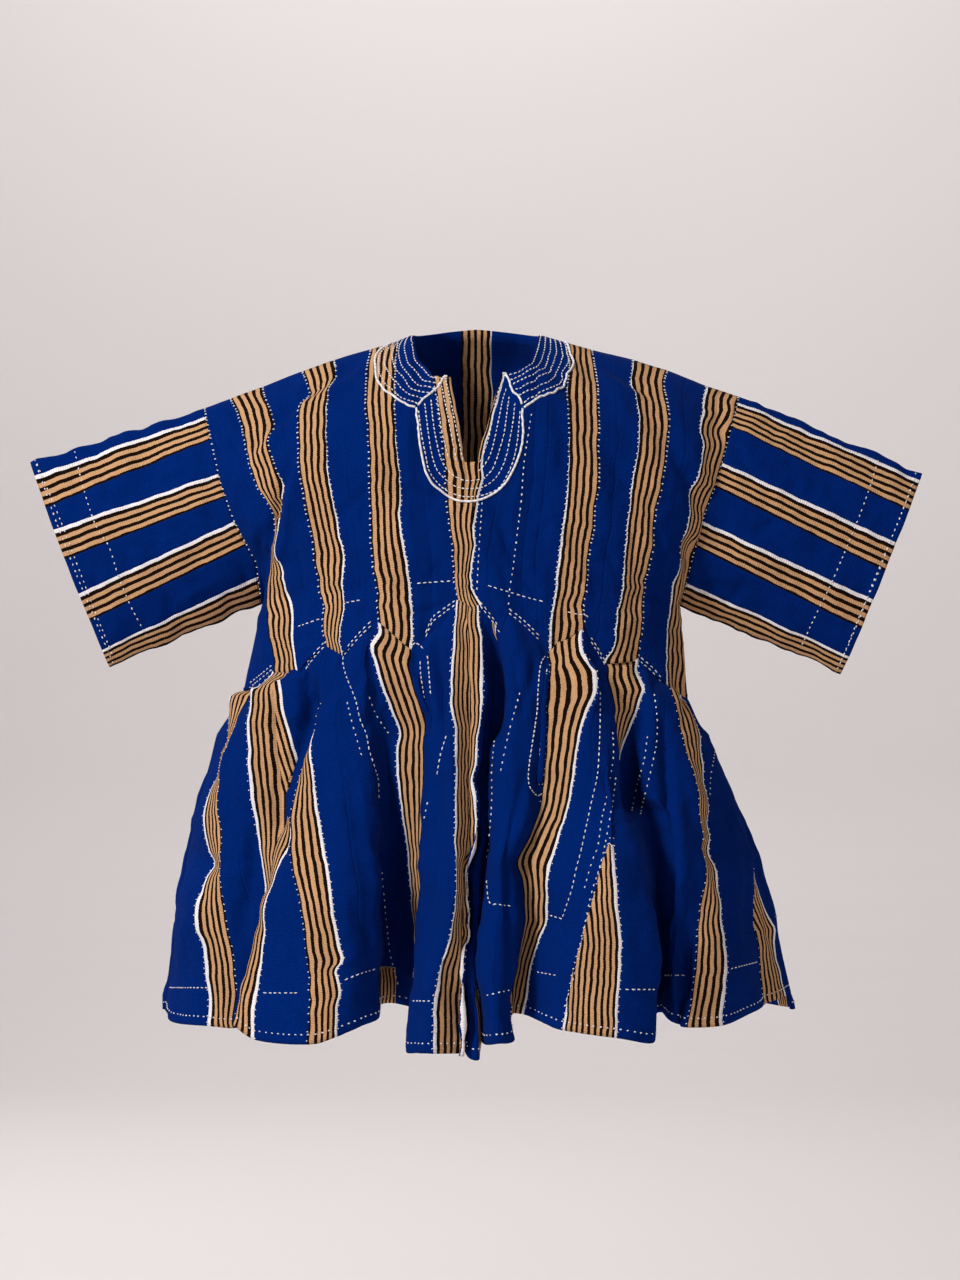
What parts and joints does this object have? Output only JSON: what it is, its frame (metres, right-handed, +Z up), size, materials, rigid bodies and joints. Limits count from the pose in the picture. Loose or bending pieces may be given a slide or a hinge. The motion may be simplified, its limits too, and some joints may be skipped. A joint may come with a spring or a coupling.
{
  "type": "fugu smock",
  "caption": "Wide pullover smock of narrow hand-woven cotton strips, with a stitched neck ring and bib, wide cropped sleeves and a fluted gathered skirt.",
  "frame": {"origin": "midway between the shoulders at the base of the neck, where the smock rests on its wearer", "axes": "+Z up, the front faces -Y, +X is the right as seen from the front, which is the wearer's left"},
  "size_m": [1.008, 0.4532, 0.8029],
  "materials": {
    "strip_cloth": "matt hand-woven cotton, blue with tan, black and white stripes",
    "white_cord": "matt twisted cotton cord"
  },
  "bodies": {
    "root": {"bodice_front": "strip_cloth", "bodice_back": "strip_cloth", "sleeve_left": "strip_cloth", "sleeve_right": "strip_cloth", "skirt_front": "strip_cloth", "skirt_back": "strip_cloth", "pocket_left": "strip_cloth", "pocket_right": "strip_cloth", "cord_neck_ring": "white_cord", "cord_bib": "white_cord", "cord_mitre_left": "white_cord", "cord_mitre_right": "white_cord"}
  },
  "joints": []
}
